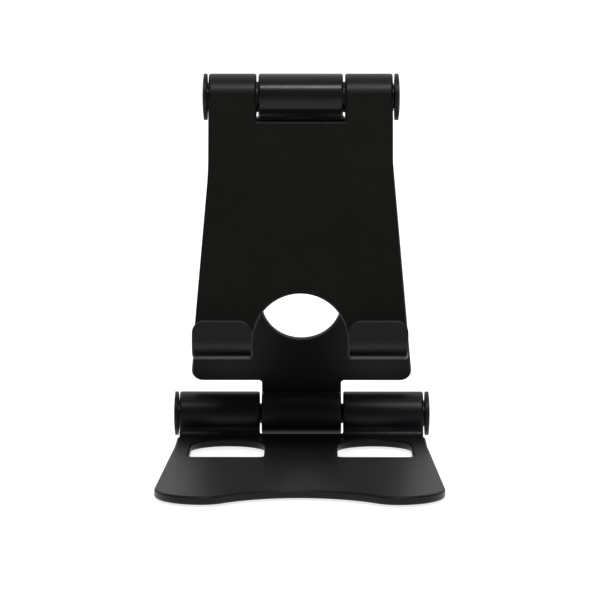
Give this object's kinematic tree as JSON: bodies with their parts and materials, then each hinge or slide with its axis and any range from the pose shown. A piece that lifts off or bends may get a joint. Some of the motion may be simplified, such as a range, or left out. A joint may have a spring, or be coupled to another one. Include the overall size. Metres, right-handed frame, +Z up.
{
  "type": "phone stand",
  "caption": "Folding desk stand for a phone, bent from sheet: a base with feet, a leaning arm and a back panel with two hooks, joined by two friction hinges with domed heads.",
  "frame": {"origin": "bottom centre of the bounding box, on the desk under the middle of the stand", "axes": "+Z up, +Y towards the rear where the hinge of the base is, +X to the right for someone facing the phone; the hinge axes run along X"},
  "size_m": [0.083, 0.1194, 0.1193],
  "materials": {
    "black_aluminium": "satin black anodised, fine texture",
    "black_steel": "black oxide, satin",
    "spring_steel": "dark, oiled",
    "black_acetal": "matte",
    "foot_rubber": "matte",
    "hook_silicone": "matte silicone"
  },
  "bodies": {
    "base": {"base_plate": "black_aluminium", "base_hinge_post": "black_steel", "base_hinge_screw": "black_steel", "base_hinge_end_washer": "spring_steel", "base_hinge_disc_spring": "spring_steel", "base_hinge_bush_left": "black_acetal", "base_hinge_bush_right": "black_acetal", "base_hinge_friction_washer_left": "black_acetal", "base_hinge_friction_washer_right": "black_acetal", "foot_front_right": "foot_rubber", "foot_front_left": "foot_rubber", "foot_side_right": "foot_rubber", "foot_side_left": "foot_rubber"},
    "arm": {"arm_plate": "black_aluminium", "base_hinge_bush_middle": "black_acetal", "top_hinge_bush_middle": "black_acetal"},
    "panel": {"phone_panel": "black_aluminium", "top_hinge_post": "black_steel", "top_hinge_screw": "black_steel", "top_hinge_end_washer": "spring_steel", "top_hinge_disc_spring": "spring_steel", "top_hinge_bush_left": "black_acetal", "top_hinge_bush_right": "black_acetal", "top_hinge_friction_washer_left": "black_acetal", "top_hinge_friction_washer_right": "black_acetal", "hook_pad_right": "hook_silicone", "hook_pad_left": "hook_silicone"}
  },
  "joints": [
    {"name": "base_hinge", "type": "hinge", "parent": "base", "child": "arm", "pos_m": [0, 0.05265, 0.0096], "axis": [1, 0, 0], "range_deg": [-112, 23]},
    {"name": "top_hinge", "type": "hinge", "parent": "arm", "child": "panel", "pos_m": [0, 0.00904, 0.11233], "axis": [1, 0, 0], "range_deg": [-120, 34.5]}
  ]
}
